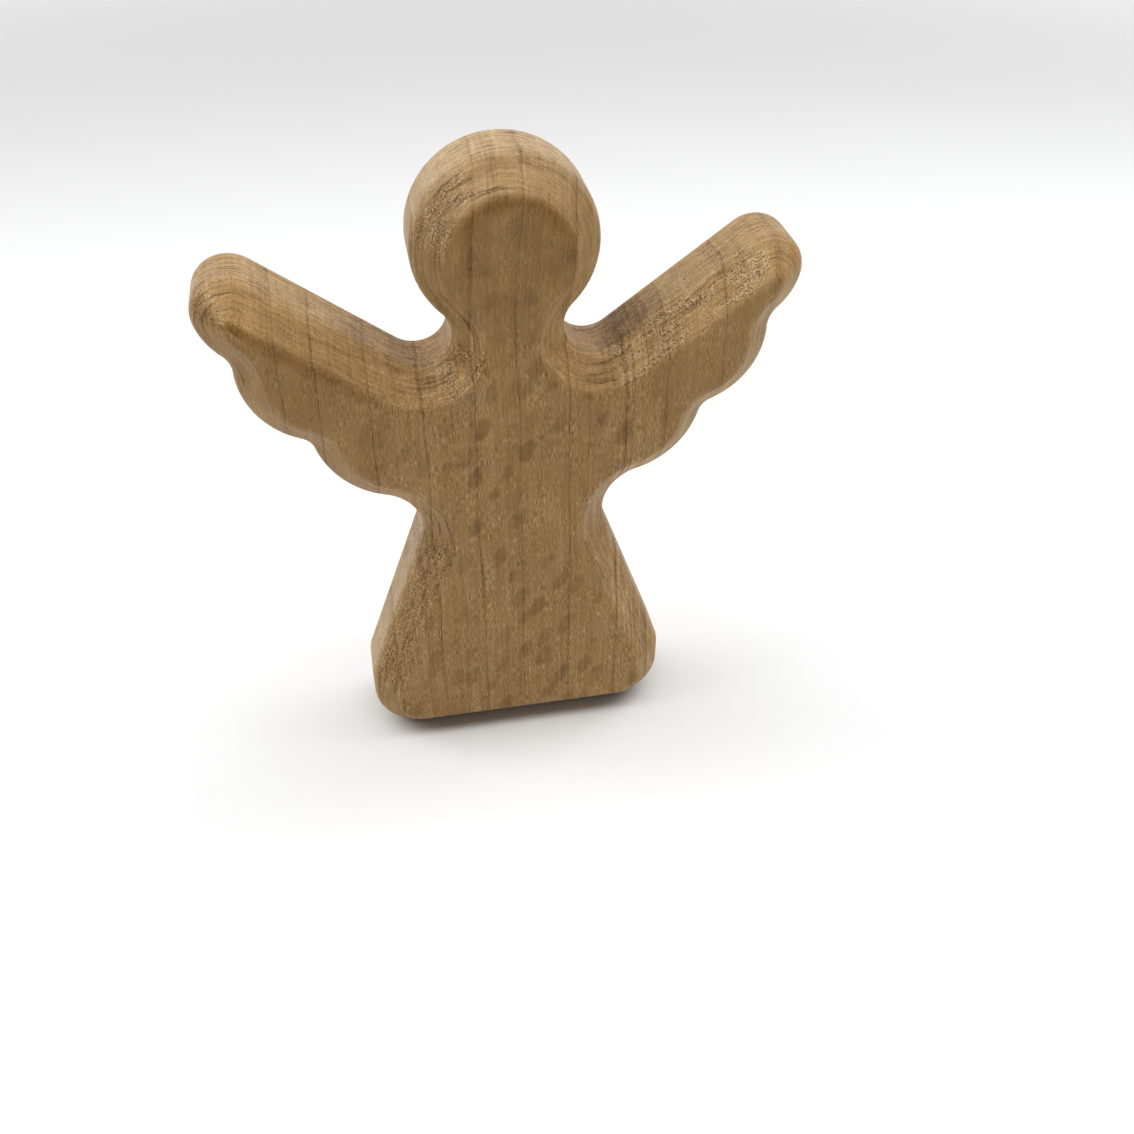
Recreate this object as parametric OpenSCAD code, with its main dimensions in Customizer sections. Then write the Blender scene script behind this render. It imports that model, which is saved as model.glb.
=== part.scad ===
// Wooden angel figurine, cut as one piece from a planed hardwood board.
// Millimetres, +Z up. The front faces -Y and the origin is the middle of the underside.

/* [Board] */
// Thickness of the board, from the front face to the back face
thickness = 18; // [14:0.5:26]
// Width and depth of the 45 degree slope right round the front and back edges
chamfer = 4.6; // [2:0.1:5]

/* [Head] */
// Height of the top of the head
height = 104.6; // [98:0.2:116]
// Diameter of the head
head_d = 27.4; // [24:0.2:32]
// Width of the neck at its narrowest
neck_w = 16.8; // [13:0.2:20]
// Radius of the hollow between the neck and a wing
shoulder_r = 4.8; // [3:0.1:7]

/* [Wings] */
// Distance across both wing tips
wing_span = 89; // [82:0.5:100]
// Height of the top of the wing tips
wing_top = 89.6; // [85:0.2:96]
// Radius of a wing tip
tip_r = 5.5; // [5.2:0.1:7]
// Angle below level at which a wing tip turns into its outer feather
tip_turn = 14; // [0:1:40]
// Radius of the outer feather
outer_feather_r = 10.3; // [8:0.1:13]
// Radius of the middle feather
middle_feather_r = 12.7; // [11:0.1:15]
// How far the middle feather's centre lies in from the outer feather's
middle_feather_in = 6.9; // [5:0.1:9]
// How far the middle feather's centre lies below the outer feather's
middle_feather_down = 10.7; // [9:0.1:13]
// Radius of the inner feather
inner_feather_r = 14; // [12:0.1:16]
// How far the inner feather's centre lies in from the middle feather's
inner_feather_in = 10.7; // [8:0.1:13]
// How far the inner feather's centre lies below the middle feather's
inner_feather_down = 10.2; // [8:0.1:13]
// Radius of the dip between the outer and middle feathers
upper_dip_r = 4; // [1:0.1:6]
// Radius of the dip between the middle and inner feathers
lower_dip_r = 3; // [1:0.1:5]

/* [Robe] */
// Width of the waist at its narrowest
waist_w = 30; // [24:0.5:36]
// Radius of the hollow between the waist and a wing
waist_r = 7.3; // [5:0.1:10]
// Width across the foot of the robe
base_w = 51.8; // [44:0.2:64]
// Radius of the corners at the foot of the robe
foot_r = 8.3; // [5:0.1:9]
// Height up to which the sides of the foot stand upright
upright_h = 11.8; // [9.5:0.1:16]
// Radius of the bend from the upright sides into the robe's slant
bend_r = 5.4; // [5.2:0.1:9]

/* [Hidden] */

wood = "#a9825a";
arc_turn = 6;      // largest turn between two points of an arc, in degrees
arc_length = 1.5;  // and largest distance between them
same_point = 0.01; // points nearer than this are one

// The outline runs like a belt round circles, anticlockwise as seen from the front.
// A circle is [x, z, radius], and its radius is negative where the outline turns inwards round it.
head_r = head_d / 2;
head = [0, height - head_r, head_r];
shoulder_x = neck_w / 2 + shoulder_r;
shoulder = [shoulder_x, head.y - leg(head_r + shoulder_r, shoulder_x), -shoulder_r];
tip = [wing_span / 2 - tip_r, wing_top - tip_r, tip_r];
feather_shift = outer_feather_r - tip_r;
outer_feather = [
    tip.x - feather_shift * cos(tip_turn), tip.y + feather_shift * sin(tip_turn), outer_feather_r
];
middle_feather = [
    outer_feather.x - middle_feather_in, outer_feather.y - middle_feather_down, middle_feather_r
];
inner_feather = [
    middle_feather.x - inner_feather_in, middle_feather.y - inner_feather_down, inner_feather_r
];
waist_x = waist_w / 2 + waist_r;
waist = [
    waist_x, inner_feather.y - leg(inner_feather_r + waist_r, waist_x - inner_feather.x), -waist_r
];
foot = [base_w / 2 - foot_r, foot_r, foot_r];
bend = [base_w / 2 - bend_r, upright_h, bend_r];

right_side = [
    foot, bend, waist, inner_feather, dip(inner_feather, middle_feather, lower_dip_r),
    middle_feather, dip(middle_feather, outer_feather, upper_dip_r), outer_feather, tip, shoulder
];
left_side = [for (i = [len(right_side) - 1:-1:0]) [-right_side[i].x, right_side[i].y, right_side[i][2]]];
circles = concat(right_side, [head], left_side);
last = len(circles) - 1;

// Other leg of a right-angled triangle
function leg(long_side, side) = sqrt(long_side * long_side - side * side);

// Hollow circle of radius r that touches circles a and b, on their right
function dip(a, b, r) =
    let (
        ab = [b.x - a.x, b.y - a.y],
        d = norm(ab),
        along = (d * d + pow(a[2] + r, 2) - pow(b[2] + r, 2)) / (2 * d),
        across = leg(a[2] + r, along)
    )
    [a.x + (ab.x * along + ab.y * across) / d, a.y + (ab.y * along - ab.x * across) / d, -r];

// Direction of the straight run that leaves circle a and meets circle b
function run(a, b) =
    let (d = norm([b.x - a.x, b.y - a.y]))
    atan2(b.y - a.y, b.x - a.x) + asin(max(-1, min(1, (a[2] - b[2]) / d)));

// Turn from one direction to another, left round a positive radius and right round a negative one
function turn(from, to, r) =
    let (side = r > 0 ? 1 : -1, slack = 1e-6)
    side * ((side * (to - from) + 720 + slack) % 360 - slack);

// Points of the arc round circle i. An outline point is [x, z, outward x, outward z, circle].
function arc_points(i) =
    let (
        c = circles[i],
        start = run(circles[i == 0 ? last : i - 1], c),
        sweep = turn(start, run(c, circles[i == last ? 0 : i + 1]), c[2]),
        length = abs(sweep * c[2]) * PI / 180,
        steps = 2 * max(1, ceil(max(abs(sweep) / arc_turn, length / arc_length) / 2))
    )
    [
        for (s = [0:steps])
            let (a = start + sweep * s / steps, out = [sin(a), -cos(a)])
            [c.x + c[2] * out.x, c.y + c[2] * out.y, out.x, out.y, i]
    ];

all_points = [for (i = [0:last]) each arc_points(i)];
outline = [
    for (i = [0:len(all_points) - 1])
        let (p = all_points[i], q = all_points[i == 0 ? len(all_points) - 1 : i - 1])
            if (norm([p.x - q.x, p.y - q.y]) > same_point) p
];

n = len(outline);
top = floor((n - 1) / 2);

// Four rings of points: the front face, the two edges of the side wall and the back face
function ring(inset, y) = [for (p = outline) [p.x - p[2] * inset, y, p.y - p[3] * inset]];
half = thickness / 2;
rings = [ring(chamfer, -half), ring(0, chamfer - half), ring(0, half - chamfer), ring(chamfer, half)];

// Places on the right half of the outline: the end of the waist, and the shoulder's start and lowest point
function places(circle) = [for (i = [0:top]) if (outline[i][4] == circle) i];
waist_end = max(places(search([waist], circles)[0]));
shoulder_places = places(search([shoulder], circles)[0]);
shoulder_start = min(shoulder_places);
lowest = max([for (i = shoulder_places) outline[i][3]]);
shoulder_low = [for (i = shoulder_places) if (outline[i][3] == lowest) i][0];

// A flat face in triangles: the robe and the head lie in strips across the middle line, and each wing is a
// fan from its shoulder
function across(i) = n - 1 - i;
function strip(from, to) = [
    for (i = [from:to - 1])
        each [
            [i, i + 1, across(i)],
            if (i + 1 != across(i + 1)) [i + 1, across(i + 1), across(i)]
        ]
];
function fan(hub, from, to) = [
    for (i = [from:to - 1])
        each [[hub, i, i + 1], [across(hub), across(i + 1), across(i)]]
];
face = concat(
    strip(0, waist_end), fan(shoulder_start, waist_end, shoulder_start - 1),
    fan(waist_end, shoulder_start, shoulder_low),
    [
        [waist_end, shoulder_low, across(waist_end)],
        [shoulder_low, across(shoulder_low), across(waist_end)]
    ],
    strip(shoulder_low, top)
);

module angel_figure() {
    front = [for (t = face) [t[2], t[1], t[0]]];
    back = [for (t = face) [for (i = t) i + (len(rings) - 1) * n]];
    sides = [
        for (k = [0:len(rings) - 2], i = [0:n - 1])
            let (a = k * n + i, b = k * n + (i + 1) % n)
                each [[a, b, b + n], [a, b + n, a + n]]
    ];
    color(wood)
        polyhedron(points = [for (r = rings) each r], faces = concat(front, back, sides), convexity = 8);
}

angel_figure();
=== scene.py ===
import math
from types import SimpleNamespace

import bpy
import numpy as np
from mathutils import Matrix, Vector


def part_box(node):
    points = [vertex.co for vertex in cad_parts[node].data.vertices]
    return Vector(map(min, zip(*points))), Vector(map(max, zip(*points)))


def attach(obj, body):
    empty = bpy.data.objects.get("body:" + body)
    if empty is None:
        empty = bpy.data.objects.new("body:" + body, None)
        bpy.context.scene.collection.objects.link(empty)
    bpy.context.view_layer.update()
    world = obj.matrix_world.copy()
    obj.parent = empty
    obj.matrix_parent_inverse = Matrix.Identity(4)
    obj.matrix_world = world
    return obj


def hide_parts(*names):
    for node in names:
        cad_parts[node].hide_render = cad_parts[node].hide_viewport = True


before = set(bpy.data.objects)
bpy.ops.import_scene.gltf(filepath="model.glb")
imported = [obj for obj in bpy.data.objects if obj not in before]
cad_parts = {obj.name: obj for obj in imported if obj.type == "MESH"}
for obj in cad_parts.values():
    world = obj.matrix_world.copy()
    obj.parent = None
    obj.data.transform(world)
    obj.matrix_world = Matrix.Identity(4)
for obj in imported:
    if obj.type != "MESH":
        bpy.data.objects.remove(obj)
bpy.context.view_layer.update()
print("frame loaded:", sorted(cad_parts))

mm = 0.001  # sizes below are millimetres, the scene is in metres
white = (1.0, 1.0, 1.0, 1.0)


# camera at the photograph's viewing angle, for a square picture
cameraFit = dict(
    target=(9.79, 0.0, 28.28),
    distance=216.26,
    azimuth=-11.30,  # degrees from straight in front, towards +X
    elevation=39.11,
    roll=0.363,
    focalPixels=1229.4,
    pictureWidth=1134,
    sensorWidth=36.0,
    clipStart=5.0,
)


def photoCamera(fit):
    azimuth, elevation, roll = (math.radians(fit[name]) for name in ("azimuth", "elevation", "roll"))
    back = Vector((
        math.sin(azimuth) * math.cos(elevation),
        -math.cos(azimuth) * math.cos(elevation),
        math.sin(elevation),
    ))
    across = (-back).cross(Vector((0, 0, 1))).normalized()
    upwards = across.cross(-back)
    rolledAcross = math.cos(roll) * across + math.sin(roll) * upwards
    rolledUpwards = math.cos(roll) * upwards - math.sin(roll) * across
    lens = bpy.data.cameras.new("photoCamera")
    lens.sensor_width = fit["sensorWidth"]
    lens.lens = fit["focalPixels"] / fit["pictureWidth"] * fit["sensorWidth"]
    lens.clip_start = fit["clipStart"] * mm
    camera = bpy.data.objects.new("photoCamera", lens)
    turn = Matrix((rolledAcross, rolledUpwards, back)).transposed().to_4x4()
    stand = (Vector(fit["target"]) + back * fit["distance"]) * mm
    camera.matrix_world = Matrix.Translation(stand) @ turn
    bpy.context.scene.collection.objects.link(camera)
    bpy.context.scene.camera = camera


photoCamera(cameraFit)
print("camera placed")


class Wire:
    # one socket of a node tree: arithmetic on it adds Math nodes, and node() adds any other kind
    def __init__(self, tree, socket=None):
        self.tree = tree
        self.socket = socket

    def node(self, kind, settings=None, values=None, output=0):
        made = self.tree.nodes.new(kind)
        for name, setting in (settings or {}).items():
            if name == "stops":
                self.setStops(made.color_ramp, setting)
            else:
                setattr(made, name, setting)
        for name, value in (values or {}).items():
            if isinstance(value, Wire):
                self.tree.links.new(value.socket, made.inputs[name])
            else:
                made.inputs[name].default_value = value
        return Wire(self.tree, made.outputs[output] if made.outputs else None)

    @staticmethod
    def setStops(ramp, stops):
        while len(ramp.elements) < len(stops):
            ramp.elements.new(1.0)
        for element, (place, colour) in zip(ramp.elements, stops):
            element.position = place
            element.color = (*colour, 1.0)

    def maths(self, operation, *terms):
        return self.node("ShaderNodeMath", {"operation": operation}, dict(enumerate(terms)))

    def __add__(self, other):
        return self.maths("ADD", self, other)

    def __radd__(self, other):
        return self.maths("ADD", other, self)

    def __sub__(self, other):
        return self.maths("SUBTRACT", self, other)

    def __rsub__(self, other):
        return self.maths("SUBTRACT", other, self)

    def __mul__(self, other):
        return self.maths("MULTIPLY", self, other)

    def __rmul__(self, other):
        return self.maths("MULTIPLY", other, self)

    def __truediv__(self, other):
        return self.maths("DIVIDE", self, other)

    def __rtruediv__(self, other):
        return self.maths("DIVIDE", other, self)

    def __pow__(self, other):
        return self.maths("POWER", self, other)

    def __rpow__(self, other):
        return self.maths("POWER", other, self)

    def __abs__(self):
        return self.maths("ABSOLUTE", self)

    def atLeast(self, other):
        return self.maths("MAXIMUM", self, other)

    def atMost(self, other):
        return self.maths("MINIMUM", self, other)

    def between(self, low, high):  # smooth step, 0 at low and 1 at high
        return self.node(
            "ShaderNodeMapRange", {"interpolation_type": "SMOOTHSTEP"},
            {"Value": self, "From Min": low, "From Max": high},
        )

    def patchy(self, least):  # lifts 0 to that least and leaves 1
        return least + self * (1 - least)

    def scaled(self, *factors):  # a vector times three numbers
        return self.node("ShaderNodeVectorMath", {"operation": "MULTIPLY"}, {0: self, 1: factors})

    def parts(self):  # x, y and z of a vector
        split = self.node("ShaderNodeSeparateXYZ", None, {"Vector": self}).socket.node
        return [Wire(self.tree, socket) for socket in split.outputs]

    def joined(self, x, y, z):
        return self.node("ShaderNodeCombineXYZ", None, {"X": x, "Y": y, "Z": z})

    def cloud(self, size, detail=2.0, roughness=0.5, levels=None, middle=0.5, swing=1.0):
        # noise with blotches of that size: from 0 to 1 between two of its levels, or else
        # swinging about its middle level
        stretched = self.scaled(*(1 / length for length in size))
        noise = self.node(
            "ShaderNodeTexNoise", None,
            {"Vector": stretched, "Scale": 1.0, "Detail": detail, "Roughness": roughness},
        )
        return noise.between(*levels) if levels else (noise - middle) * swing

    def spots(self, size, levels):
        # scattered spots about that far apart, from 0 to 1 between two distances from their middles
        stretched = self.scaled(*(1 / length for length in size))
        distance = self.node("ShaderNodeTexVoronoi", None, {"Vector": stretched, "Scale": 1.0})
        return distance.between(*levels)

    def attribute(self, name):
        return self.node("ShaderNodeAttribute", {"attribute_name": name}, None, "Fac")

    def mixed(self, first, second, blend="MIX"):
        # two colours by this share; a Mix node's colour sockets are 6, 7 and, going out, 2
        settings = {"data_type": "RGBA", "blend_type": blend}
        return self.node("ShaderNodeMix", settings, {0: self, 6: first, 7: second}, output=2)

    def shaders(self, first, second):  # two shaders by this share
        return self.node("ShaderNodeMixShader", None, {0: self, 1: first, 2: second})


def freshTree(owner):
    owner.use_nodes = True
    owner.node_tree.nodes.clear()
    return Wire(owner.node_tree)


def objectPlace(start):  # object coordinates in millimetres
    return start.node("ShaderNodeTexCoord", output="Object").scaled(1 / mm, 1 / mm, 1 / mm)


def seenDirectly(start):
    # 1 for what the camera, a gloss or a glass sees, 0 for light that falls on things
    path = start.node("ShaderNodeLightPath").socket.node
    camera, gloss, glass = (
        Wire(start.tree, path.outputs[name])
        for name in ("Is Camera Ray", "Is Glossy Ray", "Is Transmission Ray")
    )
    return camera.atLeast(gloss).atLeast(glass)


# plain soft light: one broad panel overhead and one high at each side, in a dim room
room = dict(
    light=(0.13, 0.13, 0.13),
    panels=dict(
        overhead=dict(place=(0, 0, 700), size=600, watts=3.3),
        leftHigh=dict(place=(-500, 90, 550), size=500, watts=2.3),
        rightHigh=dict(place=(500, 60, 550), size=500, watts=2.1),
    ),
    aim=(0, 0, 45),
)


def softRoom(settings):
    world = bpy.data.worlds.new("softRoom")
    bpy.context.scene.world = world
    start = freshTree(world)
    lit = start.node("ShaderNodeBackground", None, {"Color": (*settings["light"], 1)})
    blank = start.node("ShaderNodeBackground", None, {"Color": white})
    start.node("ShaderNodeOutputWorld", None, {"Surface": seenDirectly(start).shaders(lit, blank)})
    for name, panel in settings["panels"].items():
        lamp = bpy.data.lights.new(name, "AREA")
        lamp.shape = "SQUARE"
        lamp.size = panel["size"] * mm
        lamp.energy = panel["watts"]
        holder = bpy.data.objects.new(name, lamp)
        place = Vector(panel["place"])
        facing = (Vector(settings["aim"]) - place).to_track_quat("-Z", "Y").to_matrix().to_4x4()
        holder.matrix_world = Matrix.Translation(place * mm) @ facing
        bpy.context.scene.collection.objects.link(holder)


softRoom(room)
print("room lit")


# pale floor: white where fully lit, painted shade making it greyer far behind the figure, plain white
# past the lamps' reach
floorSheet = dict(
    halfWidth=1500,
    drop=0.02,  # below the underside, so that the two don't share a plane
    colour=(0.955, 0.96, 0.965),
    farShadeColour=(0.83, 0.83, 0.83),
    farShadeSpan=(130, 320),  # how far behind the figure the painted shade turns it greyer
    fadeSpan=(340, 720),  # how far off, all round, it fades to plain white
    bounce=(0.80, 0.80, 0.80),  # what it gives back to the figure
)


def paleFloor(settings):
    reach = settings["halfWidth"] * mm
    corners = [(-reach, -reach), (reach, -reach), (reach, reach), (-reach, reach)]
    mesh = bpy.data.meshes.new("paleFloor")
    mesh.from_pydata([(x, y, -settings["drop"] * mm) for x, y in corners], [], [(0, 1, 2, 3)])
    material = bpy.data.materials.new("paleFloor")
    start = freshTree(material)
    x, y, _ = objectPlace(start).parts()
    # painted shade: greyer far behind the figure
    far = y.between(*settings["farShadeSpan"])
    faded = ((x * x + y * y) ** 0.5).between(*settings["fadeSpan"])
    colour = far.mixed((*settings["colour"], 1), (*settings["farShadeColour"], 1))
    lit = start.node("ShaderNodeBsdfDiffuse", None, {"Color": colour})
    dim = start.node("ShaderNodeBsdfDiffuse", None, {"Color": (*settings["bounce"], 1)})
    blank = start.node("ShaderNodeEmission", None, {"Color": white})
    shown = seenDirectly(start).shaders(dim, faded.shaders(lit, blank))
    start.node("ShaderNodeOutputMaterial", None, {"Surface": shown})
    mesh.materials.append(material)
    floor = bpy.data.objects.new("paleFloor", mesh)
    bpy.context.scene.collection.objects.link(floor)


paleFloor(floorSheet)
print("floor laid")


# figure cut from one board; its height, span and thickness are the solid's own
figureShape = dict(
    slopeWidth=4.6,
    headAcross=27.4,
    neckWidth=16.8,
    shoulderRadius=4.8,
    wingTop=89.6,
    tipRadius=5.5,
    tipTurn=14.0,  # degrees
    outerRadius=10.3,
    middleRadius=12.7,
    middleIn=6.9,
    middleDown=10.7,
    innerRadius=14.0,
    innerIn=10.7,
    innerDown=10.2,
    upperDip=4.0,
    lowerDip=3.0,
    waistWidth=30.0,
    waistRadius=7.3,
    baseWidth=51.8,
    footRadius=8.3,
    uprightHeight=11.8,  # the foot's sides stand upright up to here
    bendRadius=5.4,
    faceEase=0.8,  # sanded rounding where a face meets its slope
    wallEase=1.3,  # and where a slope meets the side wall
    climbSideways=0.8,  # the cutter climbed most on slopes that face this far to one side
    climbUp=0.6,  # and this far up
    burnishWidth=1.8,  # of the brown upper rim of a face
    burnishTurn=1.5,  # how soon the rim browns as it turns upwards
    arcSamples=64,
    robeRows=120,
    wingRows=116,
    wingCrowding=0.85,  # below 1, a wing's upper points crowd towards the neck and its sheet can't fold
    headRows=100,
    columns=40,
    wingColumns=22,
    cornerRows=6,
    slopeRows=8,
    wallRows=6,
    sweepSlack=1e-8,  # radians; keeps an arc of no length from becoming a full turn
    weld=1e-4,
)


def leg(longSide, side):
    return math.sqrt(longSide ** 2 - side ** 2)


def hollowBetween(a, b, radius):
    # circle that touches circles a and b on their right, from the triangle of the three centres
    (ax, az, ar), (bx, bz, br) = a, b
    dx, dz = bx - ax, bz - az
    gap = math.hypot(dx, dz)
    along = (gap ** 2 + (ar + radius) ** 2 - (br + radius) ** 2) / (2 * gap)
    across = leg(ar + radius, along)
    return ax + (dx * along + dz * across) / gap, az + (dz * along - dx * across) / gap, -radius


def beltCircles(shape, height, span):
    # circles (x, z, radius) that the right half of the outline runs round like a belt, from the foot
    # to the head; a hollow one has a negative radius
    headRadius = shape["headAcross"] / 2
    head = (0.0, height - headRadius, headRadius)
    shoulderRadius = shape["shoulderRadius"]
    shoulderX = shape["neckWidth"] / 2 + shoulderRadius
    shoulder = (shoulderX, head[1] - leg(headRadius + shoulderRadius, shoulderX), -shoulderRadius)
    tip = (span / 2 - shape["tipRadius"], shape["wingTop"] - shape["tipRadius"], shape["tipRadius"])
    shift = shape["outerRadius"] - shape["tipRadius"]
    turn = math.radians(shape["tipTurn"])
    outer = (tip[0] - shift * math.cos(turn), tip[1] + shift * math.sin(turn), shape["outerRadius"])
    middle = (outer[0] - shape["middleIn"], outer[1] - shape["middleDown"], shape["middleRadius"])
    inner = (middle[0] - shape["innerIn"], middle[1] - shape["innerDown"], shape["innerRadius"])
    waistRadius = shape["waistRadius"]
    waistX = shape["waistWidth"] / 2 + waistRadius
    waist = (waistX, inner[1] - leg(shape["innerRadius"] + waistRadius, waistX - inner[0]), -waistRadius)
    halfBase = shape["baseWidth"] / 2
    return dict(
        foot=(halfBase - shape["footRadius"], shape["footRadius"], shape["footRadius"]),
        bend=(halfBase - shape["bendRadius"], shape["uprightHeight"], shape["bendRadius"]),
        waist=waist,
        inner=inner,
        lowerDip=hollowBetween(inner, middle, shape["lowerDip"]),
        middle=middle,
        upperDip=hollowBetween(middle, outer, shape["upperDip"]),
        outer=outer,
        tip=tip,
        shoulder=shoulder,
        head=head,
    )


def beltArcs(shape, circles):
    # outline = centre + radius * (sin a, -cos a), with a running round each circle between its two
    # straight runs; gives x, z and the outward x, z, by circle and along its arc
    x, z, radius = np.array(list(circles.values())).T
    gap = np.hypot(np.diff(x), np.diff(z))
    lean = np.arcsin(np.clip((radius[:-1] - radius[1:]) / gap, -1, 1))
    runs = np.arctan2(np.diff(z), np.diff(x)) + lean
    start = np.concatenate(([0.0], runs))  # leaves the middle of the underside towards +X
    end = np.concatenate((runs, [np.pi]))  # passes the top of the head towards -X
    side = np.sign(radius)
    slack = shape["sweepSlack"]
    sweep = side * (np.mod(side * (end - start) + slack, 2 * np.pi) - slack)
    angle = start[:, None] + sweep[:, None] * np.linspace(0, 1, shape["arcSamples"])
    outX, outZ = np.sin(angle), -np.cos(angle)
    x, z, radius = x[:, None], z[:, None], radius[:, None]
    return np.stack((x + radius * outX, z + radius * outZ, outX, outZ))


def dividedPath(shape, names, arcs):
    # the outline in steps along its robe, wing and head stretches, and the step that each starts at
    path = arcs.reshape(len(arcs), -1)
    steps = np.hypot(np.diff(path[0]), np.diff(path[1]))
    length = np.concatenate(([0.0], np.cumsum(steps)))
    byArc = length.reshape(len(names), -1)
    waist, tip, shoulder = (names.index(name) for name in ("waist", "tip", "shoulder"))
    stops = [
        0.0,
        byArc[waist, -1],
        byArc[tip, shape["arcSamples"] // 2],
        byArc[shoulder, np.argmax(arcs[3, shoulder])],  # lowest point between the neck and the wing
        length[-1],
    ]
    counts = [shape["robeRows"], shape["wingRows"], shape["wingRows"], shape["headRows"]]
    crowding = [1, 1, shape["wingCrowding"], 1]
    spans = [
        a + (b - a) * np.linspace(0, 1, rows, endpoint=False) ** power
        for a, b, rows, power in zip(stops, stops[1:], counts, crowding)
    ]
    stations = np.concatenate(spans + [stops[-1:]])
    right = np.array([np.interp(stations, length, values) for values in path])
    return right, np.concatenate(([0], np.cumsum(counts)))


def wholeLoop(shape, right):
    # right half, its mirror image back down, then the straight underside
    mirrored = right[:, -2::-1] * np.array([[-1], [1], [-1], [1]])
    underX = np.linspace(-right[0, 0], right[0, 0], shape["columns"] + 1)[1:-1]
    flat = np.zeros_like(underX)
    under = np.stack((underX, flat, flat, flat - 1))
    return np.concatenate((right, mirrored, under), axis=1)


def straightStretch(a, c, rows):
    # (1-t) a + t c
    t = np.linspace(0, 1, rows + 1)[:, None]
    return (1 - t) * a + t * c


def roundedCorner(a, b, c, rows):
    # (1-t)^2 a + 2t(1-t) b + t^2 c
    t = np.linspace(0, 1, rows + 1)[:, None]
    return (1 - t) ** 2 * a + 2 * t * (1 - t) * b + t ** 2 * c


def edgeProfile(shape, thickness):
    # inset and depth across the edge, front face to back face: rounded corner, slope, rounded corner,
    # side wall, and the same mirrored; and each row's shares of slope and of face
    faceCorner = np.array([shape["slopeWidth"], 0.0])
    wallCorner = np.array([0.0, shape["slopeWidth"]])
    downSlope = np.array([-1, 1]) / math.sqrt(2)
    faceEnd = faceCorner + np.array([shape["faceEase"], 0.0])
    slopeStart = faceCorner + downSlope * shape["faceEase"]
    slopeEnd = wallCorner - downSlope * shape["wallEase"]
    wallStart = wallCorner + np.array([0.0, shape["wallEase"]])
    wallMiddle = np.array([0.0, thickness / 2])
    front = np.concatenate((
        roundedCorner(faceEnd, faceCorner, slopeStart, shape["cornerRows"]),
        straightStretch(slopeStart, slopeEnd, shape["slopeRows"])[1:-1],
        roundedCorner(slopeEnd, wallCorner, wallStart, shape["cornerRows"]),
        straightStretch(wallStart, wallMiddle, shape["wallRows"])[1:],
    ))
    rise = np.linspace(0, 1, shape["cornerRows"] + 1)
    slopeShare = np.concatenate((
        rise, np.ones(shape["slopeRows"] - 1), rise[::-1], np.zeros(shape["wallRows"]),
    ))
    faceShare = np.concatenate((rise[::-1], np.zeros(len(slopeShare) - len(rise))))
    inset = np.concatenate((front[:, 0], front[-2::-1, 0]))
    depth = np.concatenate((front[:, 1], thickness - front[-2::-1, 1])) - thickness / 2
    shares = [np.concatenate((share, share[-2::-1])) for share in (slopeShare, faceShare)]
    return inset, depth, *shares


def cutterClimb(shape, outX, outZ, depth):
    # how far the cutter climbed across the fibres, from -1 to 1: to one side on the front slopes,
    # to the other on the back ones, and upwards on both
    sideways = np.where(depth < 0, -outX, outX)
    return shape["climbSideways"] * sideways + shape["climbUp"] * outZ


def facingUp(shape, outZ):
    return np.clip(outZ * shape["burnishTurn"], 0, 1)


def burnishedRim(shape, sheet, rim, outZ):
    # a face's share of its burnished rim: 1 - distance to the rim / its width, where the rim faces up
    gap = np.hypot(sheet[..., 0, None] - rim[:, 0], sheet[..., 2, None] - rim[:, 2])
    nearest = gap.argmin(axis=-1)
    return np.clip(1 - gap.min(axis=-1) / shape["burnishWidth"], 0, 1) * facingUp(shape, outZ[nearest])


def edgeBand(shape, loop, thickness):
    # slopes and side wall, the edge profile carried round the outline: outline - outward * inset,
    # at the profile's depth, and the shares of each point
    inset, depth, slopeShare, faceShare = (values[:, None] for values in edgeProfile(shape, thickness))
    x, z, outX, outZ = loop
    climb = cutterClimb(shape, outX, outZ, depth)
    burnish = faceShare * facingUp(shape, outZ)
    points = np.broadcast_arrays(x - outX * inset, depth, z - outZ * inset)
    shares = np.broadcast_arrays(slopeShare, faceShare, climb, np.abs(outZ), burnish)
    return np.stack(points, -1), np.stack(shares, -1)


def ruled(a, b, columns):
    # straight lines between two edges: (1-t) a + t b
    t = np.linspace(0, 1, columns + 1)[None, :, None]
    return (1 - t) * a[:, None] + t * b[:, None]


def faceSheets(shape, edge, marks):
    # a flat face: ruled across the robe, chest and head, and between the two edges of each wing
    _, waistEnd, tip, shoulder, top = marks
    root = ruled(edge[waistEnd:waistEnd + 1], edge[shoulder:shoulder + 1], shape["wingColumns"])[0]
    flank = np.concatenate((edge[:waistEnd], root, edge[shoulder + 1:top + 1]))
    otherSide = np.array([-1, 1, 1])
    wing = ruled(edge[waistEnd:tip + 1], edge[tip:shoulder + 1][::-1], shape["wingColumns"])
    return ruled(flank, flank * otherSide, shape["columns"]), wing, (wing * otherSide)[:, ::-1]


def gridTriangles(rows, columns, turned):
    corner = np.arange(rows * columns).reshape(rows, columns)
    a, b, c, d = corner[:-1, :-1], corner[:-1, 1:], corner[1:, 1:], corner[1:, :-1]
    split = np.concatenate([np.stack(t, -1).reshape(-1, 3) for t in ((a, b, c), (a, c, d))])
    return split[:, ::-1] if turned else split


def weldedSheets(shape, sheets):
    # sheets as one mesh: points that lie on each other become one, and triangles that this flattens go
    points, shares, triangles, count = [], [], [], 0
    for grid, gridShares, turned in sheets:
        points.append(grid.reshape(-1, 3))
        shares.append(gridShares.reshape(len(points[-1]), -1))
        triangles.append(gridTriangles(*grid.shape[:2], turned) + count)
        count += len(points[-1])
    points, shares, triangles = (np.concatenate(many) for many in (points, shares, triangles))
    keys = np.round(points / shape["weld"]).astype(np.int64)
    _, first, welded = np.unique(keys, axis=0, return_index=True, return_inverse=True)
    triangles = welded.ravel()[triangles]
    whole = (triangles != np.roll(triangles, 1, axis=1)).all(axis=1)
    return points[first], shares[first], triangles[whole]


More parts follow.
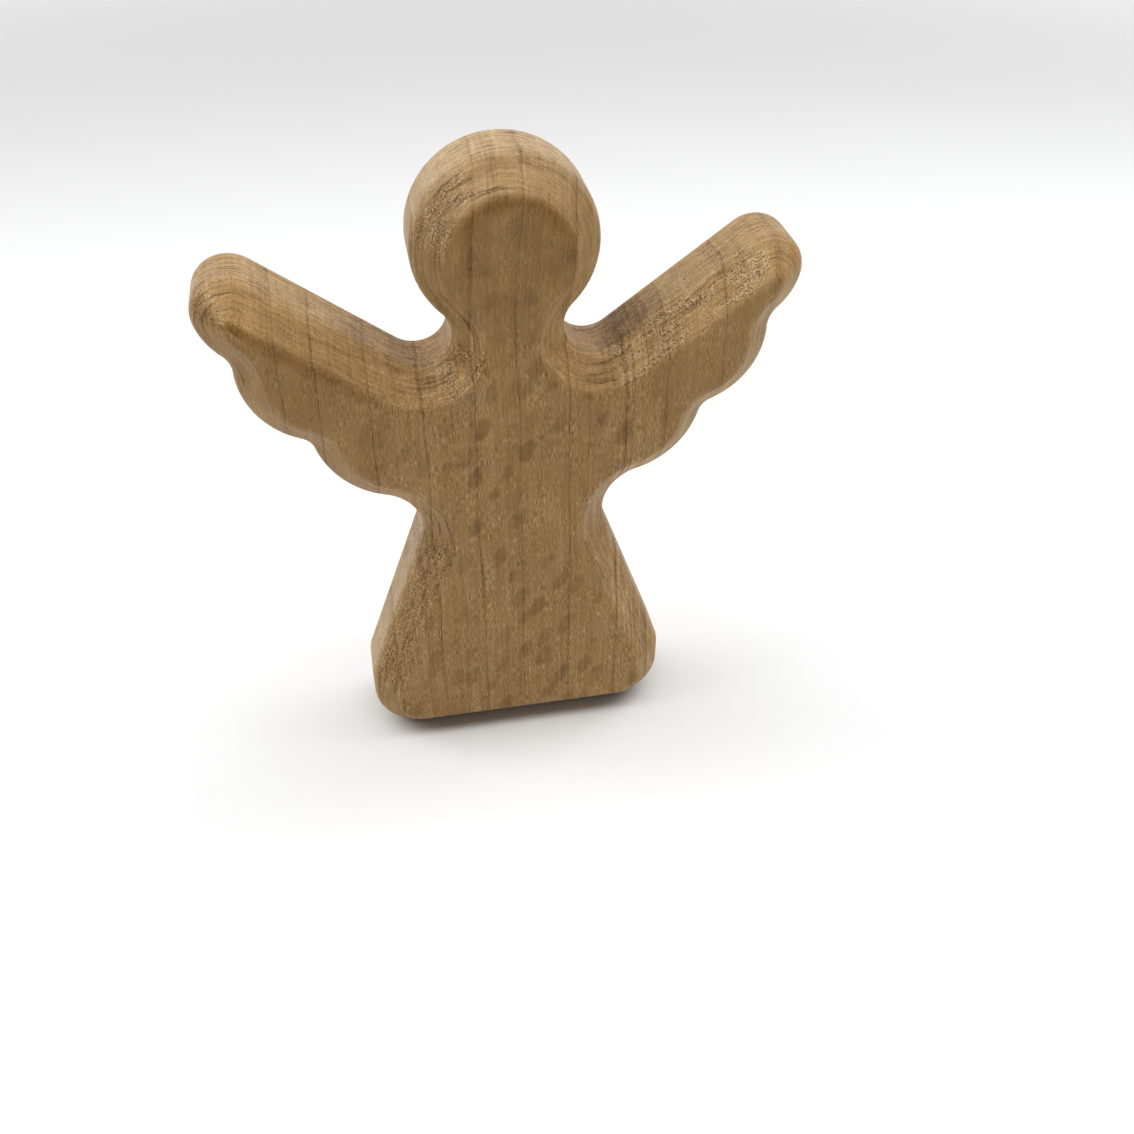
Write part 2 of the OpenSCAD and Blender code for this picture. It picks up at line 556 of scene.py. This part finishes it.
# attributes of the mesh, in the order in which its sheets hold them
shareNames = ("slopeShare", "faceShare", "climb", "endGrain", "burnish")


def angelFigure(shape):
    low, high = (np.array(corner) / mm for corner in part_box("angel_figure"))
    span, thickness, height = high - low
    circles = beltCircles(shape, height, span)
    right, marks = dividedPath(shape, list(circles), beltArcs(shape, circles))
    loop = wholeLoop(shape, right)
    band, bandShares = edgeBand(shape, loop, thickness)
    closed = [np.concatenate((grid, grid[:, :1]), axis=1) for grid in (band, bandShares)]
    sheets = [(*closed, True)]
    for row, turned in ((0, True), (-1, False)):  # front face and back face
        for sheet in faceSheets(shape, band[row, :right.shape[1]], marks):
            burnish = burnishedRim(shape, sheet, band[row], loop[3])
            none = np.zeros_like(burnish)
            sheets.append((sheet, np.stack((none, none + 1, none, none, burnish), -1), turned))
    return weldedSheets(shape, sheets)


def meshPiece(name, points, triangles, attributes):
    mesh = bpy.data.meshes.new(name)
    mesh.vertices.add(len(points))
    mesh.vertices.foreach_set("co", (points * mm).astype(np.float32).ravel())
    mesh.loops.add(triangles.size)
    mesh.loops.foreach_set("vertex_index", triangles.astype(np.int32).ravel())
    mesh.polygons.add(len(triangles))
    mesh.polygons.foreach_set("loop_start", np.arange(0, triangles.size, 3, dtype=np.int32))
    mesh.update(calc_edges=True)
    mesh.validate()
    mesh.polygons.foreach_set("use_smooth", np.ones(len(mesh.polygons), bool))
    for attributeName, values in attributes.items():
        attribute = mesh.attributes.new(attributeName, "FLOAT", "POINT")
        attribute.data.foreach_set("value", values.astype(np.float32))
    piece = bpy.data.objects.new(name, mesh)
    bpy.context.scene.collection.objects.link(piece)
    return piece


points, shares, triangles = angelFigure(figureShape)
figure = meshPiece("angelFigure", points, triangles, dict(zip(shareNames, shares.T)))
print("figure made:", len(points), "points,", len(triangles), "triangles")


# sanded and lightly oiled beech: x runs across its rings, y across its rays and z along its fibres
beech = dict(
    oiled=((0.148, 0.069, 0.015), (0.422, 0.240, 0.083), (0.730, 0.495, 0.224)),
    sanded=((0.150, 0.090, 0.045), (0.415, 0.285, 0.150), (0.690, 0.520, 0.330)),  # where it is dry, and on the walls as a painted sheen
    colourTones=(0.1, 0.5, 0.9),  # of these three colours, dark to pale
    plainTone=0.50,  # before any trace
    rubbedTint=(1.0, 0.86, 0.58),
    plainRoughness=0.55,
    gloss=0.25,
    relief=0.12,  # depth of the bump
    ringPlaces=(-33.5, -28.5, -21.0, -13.5, -6.0, 0.6, 8.5, 17.1, 23.4, 32.0, 39.4),
    farRing=200.0,  # beyond the last ring
    ringLine=0.30,  # dark line at the end of a year's growth
    softRing=0.28,  # by which it is wider on the head, slopes and side walls
    ringBand=1.8,  # and the darker wood before it
    closeRings=19.0,  # faint rings lie close together here, where painted shadow of the head also falls on the wing's top wall
    closeSpan=5.0,
    topLean=1.5,  # the grain leans this far at the top of the head
    leanStarts=75.0,
    leanRun=27.0,
    headHeights=(72.0, 86.0),  # the head, above these heights and inside these widths, is smoother
    headWidths=(14.0, 17.0),
    headSanding=0.35,  # share of the fibres that is sanded off the head
    slopeSanding=0.40,  # and off the slopes
    radialWidths=(16.0, 30.0),  # flecks show inside these widths, where the face lies along the rays
    headFlecks=0.60,  # share of them that the head lacks
    fleckLean=0.30,
    patchLeast=0.45,  # fibres, ring lines, flecks and rubbed rims fade to this share between patches
    footHeights=(0.5, 4.2),  # painted shade under the foot: slopes darken from the upper of these down to the lower
    lineClimb=(0.1, 0.7),  # the cutter's lines show up as it climbs
    lineLeast=0.30,  # and this much elsewhere
    cleanClimb=(-0.3, -0.95),  # it cut clean where it went down
    tornClimb=(0.74, 0.96),  # and tore the wood where it climbed most
    tornSideRows=0.90,  # rows of torn chips run together on edges along the fibres
    tornEven=0.68,  # torn wood is painted paler, as if lit from above, on more end grain than this, and painted darker, as if shaded, on less
    tornLeast=0.48,  # but no darker on less than this
    rubbedWing=(-16.0, -27.0),  # rims are rubbed on one wing, from here outwards, and on the head
    rubbedHead=0.80,
    # noise patterns, by their sizes along x, y and z; levels and swing are those of Wire.cloud
    patterns=dict(
        slowWander=dict(size=(12, 10, 24), swing=1.6),
        quickWander=dict(size=(1.2, 1.5, 4), swing=0.4),
        ringPatches=dict(size=(1.5, 2, 3), levels=(0.36, 0.60)),
        fineRings=dict(size=(0.45, 14, 60)),
        bundles=dict(size=(1.8, 2.0, 3.5), detail=1.0, levels=(0.36, 0.62)),
        fibres=dict(size=(0.17, 0.2, 1.2), detail=1.0),
        streaks=dict(size=(0.5, 0.8, 14), roughness=0.6),
        mottle=dict(size=(0.32, 0.32, 0.40), detail=1.0),
        blotches=dict(size=(9, 12, 14)),
        stains=dict(size=(3.2, 8, 4)),
        fleckRagged=dict(size=(1.1, 6, 1.6), swing=1.5),
        flecks=dict(size=(3.4, 6, 6), levels=(0.45, 0.26)),
        fleckPatches=dict(size=(4, 6, 6), detail=1.0, levels=(0.35, 0.62)),
        slowWaves=dict(size=(6, 30, 6), swing=0.9),
        quickWaves=dict(size=(1.5, 30, 1.5), swing=0.4),
        rayLines=dict(size=(5, 0.32, 5), detail=1.0),
        rayDashes=dict(size=(3, 0.26, 3), detail=0.5, levels=(0.60, 0.70)),
        cutterLines=dict(size=(8, 0.5, 8), detail=1.5, levels=(0.57, 0.67)),
        tornRows=dict(size=(4, 0.9, 4), detail=1.0, levels=(0.34, 0.62)),
        chips=dict(size=(0.24, 0.24, 0.30), detail=0.5, middle=0.47),
        pits=dict(size=(0.9, 0.4, 0.9), detail=1.0, levels=(0.62, 0.72)),
        rubbedPatches=dict(size=(6, 20, 6), detail=1.0, levels=(0.38, 0.62)),
        dryPatches=dict(size=(4, 12, 6), levels=(0.45, 0.75)),
    ),
    # below, what each trace adds anywhere, and what more it adds where another trace is full
    tone=dict(
        fibres=dict(anywhere=0.85, radial=0.35, flecks=-0.70),
        mottle=dict(anywhere=0.16, radial=-0.05, bundles=0.12, flecks=-0.12),
        streaks=dict(anywhere=0.18, radial=0.24),
        blotches=dict(anywhere=0.20),
        stains=dict(anywhere=0.20, radial=-0.10, headShare=0.22),
        fineRings=dict(anywhere=0.10, edgeShare=0.20, closeEdge=0.60),
        rayLines=dict(anywhere=0.55, slopeShare=-0.12),
        rayDashes=dict(anywhere=-0.32),
        ringLine=dict(anywhere=-0.19, softened=0.02, headShare=0.04),
        ringBand=dict(anywhere=-0.08),
        flecks=dict(anywhere=-0.19),
        cutterLines=dict(anywhere=-0.22, tornSide=0.18),
        rubbed=dict(anywhere=-0.22, headShare=0.12),
        headShare=dict(faceShare=-0.07),
        # the side-wall term is painted light: side walls paler, as if lit from the sides
        sideWall=dict(anywhere=0.22, headShare=-0.08),
        # the close-rings term here is painted shadow: the head's shadow on the right wing's top wall
        endWall=dict(anywhere=-0.11, nearClose=-0.44),
        # the foot term here is painted shade: slopes darker next to the floor, under the foot
        slopeShare=dict(anywhere=-0.03, headShare=-0.03, nearFoot=-0.32),
        # torn wood's tone is painted light and shade: paler facing up or down, darker facing sideways
        tornTone=dict(anywhere=0.55, headShare=-0.41),
        chips=dict(anywhere=1.45, headShare=-0.35),
        cleanCut=dict(anywhere=0.08),
        pits=dict(anywhere=-0.18, headShare=0.10),
    ),
    # paler, greyer colours: a painted sheen on the walls, dry wood elsewhere
    dryness=dict(
        wallShare=dict(anywhere=0.70, headShare=0.30),
        slopeShare=dict(anywhere=0.15, headShare=0.20),
        tornRows=dict(endGrain=0.50),
        cleanCut=dict(anywhere=0.18, headShare=-0.18),
        dryPatches=dict(faceShare=0.25),
    ),
    height=dict(
        fibres=dict(anywhere=0.4),
        ringLine=dict(anywhere=-0.2),
        cutterLines=dict(anywhere=-0.5),
        chips=dict(anywhere=1.6),
        pits=dict(anywhere=-0.5),
    ),
    roughness=dict(
        tornRows=dict(anywhere=0.2),
        fibres=dict(anywhere=0.1),
    ),
)


def woodPlaces(look, start):
    # where a point lies on the figure, in millimetres and as shares from 0 to 1
    place = objectPlace(start)
    x, y, z = place.parts()
    wood = SimpleNamespace(anywhere=1, place=place, x=x, y=y, z=z)
    for name in shareNames:
        setattr(wood, name, start.attribute(name))
    wood.edgeShare = 1 - wood.faceShare
    wood.wallShare = wood.edgeShare - wood.slopeShare
    wood.headShare = z.between(*look["headHeights"]) * (1 - abs(x).between(*look["headWidths"]))
    wood.softened = wood.edgeShare.atLeast(wood.headShare)
    # painted light: side walls paler, as if lit from the sides
    wood.sideWall = wood.wallShare * (1 - wood.endGrain)
    wood.endWall = wood.wallShare * wood.endGrain * (1 - wood.headShare)
    # painted shade next to the floor: 1 low on the slopes, fading out upwards
    wood.nearFoot = 1 - z.between(*look["footHeights"])
    return wood


def yearRings(look, wood):
    # the grain wanders a little and leans towards the top, and the wood is darker the nearer
    # the next ring on the right is
    pattern = look["patterns"]
    lean = ((wood.z - look["leanStarts"]) / look["leanRun"]).atLeast(0) ** 2 * look["topLean"]
    wander = wood.place.cloud(**pattern["slowWander"]) + wood.place.cloud(**pattern["quickWander"])
    grainX = wood.x - lean + wander
    wood.grain = wood.place.joined(grainX, wood.y, wood.z)
    toRing = look["farRing"]
    for ringPlace in look["ringPlaces"]:
        gap = ringPlace - grainX
        toRing = (gap + gap.maths("LESS_THAN", gap, 0) * look["farRing"]).atMost(toRing)
    lineWidth = look["ringLine"] + wood.softened * look["softRing"]
    patches = wood.place.cloud(**pattern["ringPatches"]).patchy(look["patchLeast"])
    wood.ringLine = (1 - toRing / lineWidth).atLeast(0) * patches
    wood.ringBand = (1 - toRing / look["ringBand"]).atLeast(0) ** 2
    # near the close rings; also where the head's shadow is painted on the wing's top wall
    wood.nearClose = (1 - abs(wood.x - look["closeRings"]) / look["closeSpan"]).atLeast(0)
    wood.closeEdge = wood.nearClose * wood.edgeShare
    wood.fineRings = wood.grain.cloud(**pattern["fineRings"])


def fibreTraces(look, wood):
    # short fine streaks along z that show in bundles, longer softer ones, a fine mottle and stains
    pattern = look["patterns"]
    for name in ("bundles", "mottle", "blotches", "stains", "dryPatches"):
        setattr(wood, name, wood.place.cloud(**pattern[name]))
    sanded = (1 - wood.headShare * look["headSanding"]) * (1 - wood.slopeShare * look["slopeSanding"])
    bundled = wood.grain.cloud(**pattern["fibres"]) * wood.bundles.patchy(look["patchLeast"])
    wood.fibres = bundled * sanded
    wood.streaks = wood.grain.cloud(**pattern["streaks"])


def rayTraces(look, wood):
    # rays are sheets along x: a face cuts them into leaning flecks, an edge into lines at one depth
    pattern = look["patterns"]
    alongRays = 1 - abs(wood.x).between(*look["radialWidths"])
    wood.radial = alongRays * (1 - wood.headShare * look["headFlecks"])
    ragged = wood.place.cloud(**pattern["fleckRagged"])
    leaning = wood.place.joined(wood.x - wood.z * look["fleckLean"] + ragged, wood.y, wood.z + ragged)
    patches = wood.place.cloud(**pattern["fleckPatches"]).patchy(look["patchLeast"])
    wood.flecks = leaning.spots(**pattern["flecks"]) * wood.faceShare * wood.radial * patches
    waves = wood.place.cloud(**pattern["slowWaves"]) + wood.place.cloud(**pattern["quickWaves"])
    wood.atDepth = wood.place.joined(wood.x, wood.y + waves, wood.z)
    wood.rayLines = wood.atDepth.cloud(**pattern["rayLines"]) * wood.edgeShare
    wood.rayDashes = wood.atDepth.cloud(**pattern["rayDashes"]) * wood.wallShare * wood.endGrain


def cutterTraces(look, wood):
    # slopes have lines that the cutter left at one depth, and rows of torn chips where it climbed
    pattern = look["patterns"]
    lines = wood.atDepth.cloud(**pattern["cutterLines"]) * wood.slopeShare
    wood.cutterLines = lines * wood.climb.between(*look["lineClimb"]).patchy(look["lineLeast"])
    wood.cleanCut = wood.climb.between(*look["cleanClimb"]) * wood.slopeShare
    torn = wood.climb.between(*look["tornClimb"]) * wood.slopeShare
    wood.tornSide = torn * (1 - wood.endGrain)
    # painted light and shade: torn wood paler where it faces up or down, darker where it faces sideways
    wood.tornTone = torn * (wood.endGrain.atLeast(look["tornLeast"]) - look["tornEven"])
    rows = wood.atDepth.cloud(**pattern["tornRows"])
    wood.tornRows = torn * rows.atLeast(wood.tornSide * look["tornSideRows"])
    wood.chips = wood.place.cloud(**pattern["chips"]) * wood.tornRows
    wood.pits = wood.atDepth.cloud(**pattern["pits"]) * wood.tornRows


def rubbedRims(look, wood):
    # upper rims that the cutter's guide rubbed brown
    patches = wood.place.cloud(**look["patterns"]["rubbedPatches"]).patchy(look["patchLeast"])
    places = wood.x.between(*look["rubbedWing"]).atLeast(wood.headShare * look["rubbedHead"])
    wood.rubbed = wood.burnish * patches * places


def weighed(wood, weights, plain=0):
    # plain + the sum of trace * weight, where a weight is itself a sum of other traces times numbers
    traces = vars(wood)
    total = plain
    for name, terms in weights.items():
        total = total + traces[name] * sum(traces[other] * number for other, number in terms.items())
    return total


def beechFinish(look):
    material = bpy.data.materials.new("beech")
    start = freshTree(material)
    wood = woodPlaces(look, start)
    for addTraces in (yearRings, fibreTraces, rayTraces, cutterTraces, rubbedRims):
        addTraces(look, wood)
    tone = weighed(wood, look["tone"], look["plainTone"])
    oiled, sanded = (
        start.node(
            "ShaderNodeValToRGB", {"stops": list(zip(look["colourTones"], look[name]))}, {"Fac": tone},
        )
        for name in ("oiled", "sanded")
    )
    # paler, greyer colours for dry wood, and on the walls for a painted sheen
    driedAndSheen = weighed(wood, look["dryness"]).mixed(oiled, sanded)
    colour = wood.rubbed.mixed(driedAndSheen, (*look["rubbedTint"], 1), "MULTIPLY")
    bump = start.node("ShaderNodeBump", None, {
        "Height": weighed(wood, look["height"]),
        "Strength": 1.0,
        "Distance": look["relief"] * mm,
    })
    surface = start.node("ShaderNodeBsdfPrincipled", None, {
        "Base Color": colour,
        "Roughness": weighed(wood, look["roughness"], look["plainRoughness"]),
        "Specular IOR Level": look["gloss"],
        "Normal": bump,
    })
    start.node("ShaderNodeOutputMaterial", None, {"Surface": surface})
    return material


figure.data.materials.append(beechFinish(beech))
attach(figure, "root")
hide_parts("angel_figure")
print("beech finish set")

bpy.context.scene.view_settings.view_transform = "Standard"
